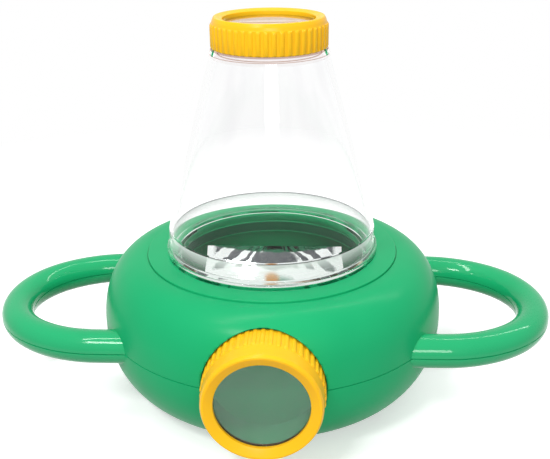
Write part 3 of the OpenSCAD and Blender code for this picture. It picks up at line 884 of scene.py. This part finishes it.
for name, sizes, stand, material, bodyName, node in (
        ("capLens", capSizes, Matrix(), topLensPlastic, "cap_core", "cap_lens"),
        ("eyepieceLens", eyeSizes, pocketPlace, lensPlastic, "eyepiece_core",
         "eyepiece_lens")):
    under = sizes["drop"] + sizes["land"] + ringCommon["lensEdge"] + ringCommon["lensSink"]
    height = sizes["base"] + sizes["length"] - under
    loop = lensLoop(sizes["lens"], ringCommon["lensEdge"], ringCommon["lensBulge"])
    place = stand @ Matrix.Translation((0, 0, height * mm))
    lens = lathe(name, loop, segments=128, place=place)
    settle(lens, bodyName, "lens", material, node)


jar = {
    "seat": 70.9, "foot": 51.0, "footHeight": 3.0, "floor": 1.2, "gap": 0.15,
    "skirt": 50.0, "kinkHeight": 12.1, "kink": 49.4, "wall": 2.0,
    "coneHeight": 93.5, "coneTop": 26.8, "collar": 26.2, "collarHeight": 2.0,
    "neck": 23.9, "neckWall": 2.2, "neckHeight": 6.55,
    "spigot": 45.85, "spigotWall": 2, "spigotDepth": 3.85,
    "register": 47.05, "registerWall": 1.6,
    "neckFinishFrom": 0.6, "plateInset": 3,
}


def coneLoop(j):
    z0 = j["seat"] + j["floor"] + j["gap"]
    kinkZ = j["seat"] + j["kinkHeight"]
    collarZ = j["seat"] + j["coneHeight"]
    neckZ = collarZ + j["collarHeight"]
    topZ = neckZ + j["neckHeight"]
    neckIn = j["neck"] - j["neckWall"]
    return roundedLoop([
        (j["skirt"], z0, 0.3), (j["kink"], kinkZ, 0.6), (j["coneTop"], collarZ, 0.4),
        (j["collar"], neckZ, 0.4), (j["neck"], neckZ, 0.3), (j["neck"], topZ, 0.5),
        (neckIn, topZ, 0.5), (neckIn, neckZ, 1.5),
        (j["coneTop"] - j["wall"], collarZ - j["wall"], 1.0),
        (j["kink"] - j["wall"], kinkZ, 0.6), (j["skirt"] - j["wall"], z0, 0.3)], steps=4)


def floorLoop(j):
    # spigot down into the well, foot rim, and the groove that takes the cone's edge
    under = j["seat"]
    over = under + j["floor"]
    rimZ = under + j["footHeight"]
    tipZ = under - j["spigotDepth"]
    lip = j["skirt"] + j["gap"]
    spigotIn = j["spigot"] - j["spigotWall"]
    registerIn = j["register"] - j["registerWall"]
    return roundedLoop([
        (0, under), (spigotIn, under, 0.2), (spigotIn, tipZ, 0.4), (j["spigot"], tipZ, 0.4),
        (j["spigot"], under, 0.1), (j["foot"], under, 0.4), (j["foot"], rimZ, 0.4),
        (lip, rimZ, 0.3), (lip, over, 0.1), (j["register"], over, 0.1),
        (j["register"], rimZ, 0.4), (registerIn, rimZ, 0.4), (registerIn, over, 0.3),
        (0, over)], steps=4)


jarCone = lathe("jarCone", coneLoop(jar), segments=256)
settle(jarCone, "jar", "jar", jarPlastic, "jar_cone")
jarCone.data.materials.append(neckPlastic)
neckFrom = (jar["seat"] + jar["coneHeight"] - jar["neckFinishFrom"]) * mm
for face in jarCone.data.polygons:
    if face.center.z > neckFrom:
        face.material_index = 1
jarFloor = lathe("jarFloor", floorLoop(jar), segments=256)
settle(jarFloor, "jar", "jar", footPlastic, "jar_floor")
jarFloor.data.materials.append(platePlastic)
plateRadius = (jar["spigot"] - jar["plateInset"]) * mm
level = 0.99
for face in jarFloor.data.polygons:
    if abs(face.normal.z) > level and face.center.xy.length < plateRadius:
        face.material_index = 1
print("jar made")


# carried over as they are, each with its own finish; the mirror's carries painted reflections and
# painted shade
finishesAndPaintedMirror = {"mirror": mirrorSilver, "mirror_pads": padFoam, "shell_screws": screwSteel,
            "eyepiece_tube": greenPlastic, "eyepiece_lens_retainer": snapPlastic,
            "cap_lens_retainer": neckPlastic}
for nodeName, material in finishesAndPaintedMirror.items():
    paint(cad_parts[nodeName], material)


stage = {"reach": 6.0, "drop": 0.0005, "white": 0.96, "bounce": 0.32, "glow": 0.34,
         "fadeFrom": 0.22, "fadeTo": 0.50, "sky": 0.52, "aim": (0, 0, 0.06)}
lamps = {
    "keyBox": {"spot": (-0.42, -0.82, 1.15), "width": 0.26, "height": 0.26, "power": 6.0,
               "spin": 0.0},
    "leftStrip": {"spot": (-0.25, -0.02, 1.15), "width": 0.85, "height": 0.06, "power": 3.6,
                  "spin": -0.68},
    "rightStrip": {"spot": (0.55, 0.60, 1.15), "width": 1.3, "height": 0.06, "power": 4.0,
                   "spin": 0.79},
    "frontPanel": {"spot": (0.15, -1.45, 0.75), "width": 0.6, "height": 0.4, "power": 10.5,
                   "spin": 0.0},
}
view = {"distance": 383.26, "height": 235.12, "turn": 0.055, "pitch": 0.4452, "yaw": 0.0034,
        "roll": -0.0115, "focalPixels": 848.2, "centreDrop": 50.5, "frameWidth": 550,
        "sensor": 36.0, "near": 10.0}


def grey(level):
    return (level, level, level, 1)


def stageFloor(g):
    # a wide pale floor that keeps the shadow to the eye, and is greyer for the light it sends back
    bm = bmesh.new()
    reach = g["reach"]
    bm.faces.new([bm.verts.new((x, y, -g["drop"])) for x, y in
                  ((-reach, -reach), (reach, -reach), (reach, reach), (-reach, reach))])
    floor = finishMesh("floor", bm, sharpDegrees=180)
    graph = Graph("paleFloor")
    seen = (graph.ray("Is Camera Ray") + graph.ray("Is Glossy Ray")
            + graph.ray("Is Transmission Ray")).clamped()
    dull = graph.diffuse(grey(g["bounce"]))
    pale = graph.diffuse(grey(g["white"]))
    lit = graph.add("ShaderNodeAddShader", {}, {0: pale, 1: graph.emission(g["glow"])}, "Shader")
    bright = graph.emission(1.0)
    away = graph.add("ShaderNodeVectorMath", {"operation": "LENGTH"},
                     {0: graph.coords()}, "Value")
    far = away.ramp(g["fadeFrom"], 1 / (g["fadeTo"] - g["fadeFrom"]))
    near = graph.mixShader(far, lit, bright)
    paint(floor, graph.finish(graph.mixShader(seen, dull, near)))


def softLight(name, aim, lamp):
    data = bpy.data.lights.new(name, "AREA")
    data.shape = "RECTANGLE"
    data.size = lamp["width"]
    data.size_y = lamp["height"]
    data.energy = lamp["power"]
    spot = Vector(lamp["spot"])
    facing = (Vector(aim) - spot).to_track_quat("-Z", "Y").to_matrix().to_4x4()
    linked(name, data).matrix_world = (Matrix.Translation(spot) @ facing
                                       @ Matrix.Rotation(lamp["spin"], 4, "Z"))


def skyLight(strength):
    # white to the eye and in glass and gloss, softer as light
    world = bpy.data.worlds.new("softRoom")
    world.use_nodes = True
    tree = world.node_tree
    tree.nodes.clear()
    path = addNode(tree, "ShaderNodeLightPath").outputs
    back = addNode(tree, "ShaderNodeBackground", {"Color": (1, 1, 1, 1), "Strength": 1.0})
    room = addNode(tree, "ShaderNodeBackground", {"Color": (1, 1, 1, 1), "Strength": strength})
    direct = addNode(tree, "ShaderNodeMath", {0: path["Is Camera Ray"],
                                              1: path["Is Transmission Ray"]}, operation="MAXIMUM")
    seen = addNode(tree, "ShaderNodeMath", {0: direct.outputs[0],
                                            1: path["Is Glossy Ray"]}, operation="MAXIMUM")
    mix = addNode(tree, "ShaderNodeMixShader", {0: seen.outputs[0], 1: room.outputs[0],
                                                2: back.outputs[0]})
    addNode(tree, "ShaderNodeOutputWorld", {0: mix.outputs[0]})
    bpy.context.scene.world = world


def makeCamera(v):
    # looks along the heading given by pitch and yaw, leans by the roll, then circles by the turn
    data = bpy.data.cameras.new("photoView")
    data.sensor_width = v["sensor"]
    data.lens = v["sensor"] * v["focalPixels"] / v["frameWidth"]
    data.shift_y = v["centreDrop"] / v["frameWidth"]
    data.clip_start = v["near"] * mm
    pitch, yaw, roll = v["pitch"], v["yaw"], v["roll"]
    forward = Vector((math.sin(yaw) * math.cos(pitch), math.cos(yaw) * math.cos(pitch),
                      -math.sin(pitch)))
    right = Vector((math.cos(yaw), -math.sin(yaw), 0))
    up = right.cross(forward)
    sideways = right * math.cos(roll) + up * math.sin(roll)
    upwards = up * math.cos(roll) - right * math.sin(roll)
    turn = Matrix.Rotation(v["turn"], 3, "Z")
    axes = Matrix((turn @ sideways, turn @ upwards, turn @ -forward)).transposed()
    spot = turn @ Vector((0, -v["distance"] * mm, v["height"] * mm))
    camera = linked("photoView", data)
    camera.matrix_world = Matrix.Translation(spot) @ axes.to_4x4()
    bpy.context.scene.camera = camera


stageFloor(stage)
skyLight(stage["sky"])
for name, lamp in lamps.items():
    softLight(name, stage["aim"], lamp)
makeCamera(view)
bpy.context.scene.view_settings.view_transform = "Standard"
print("stage made")
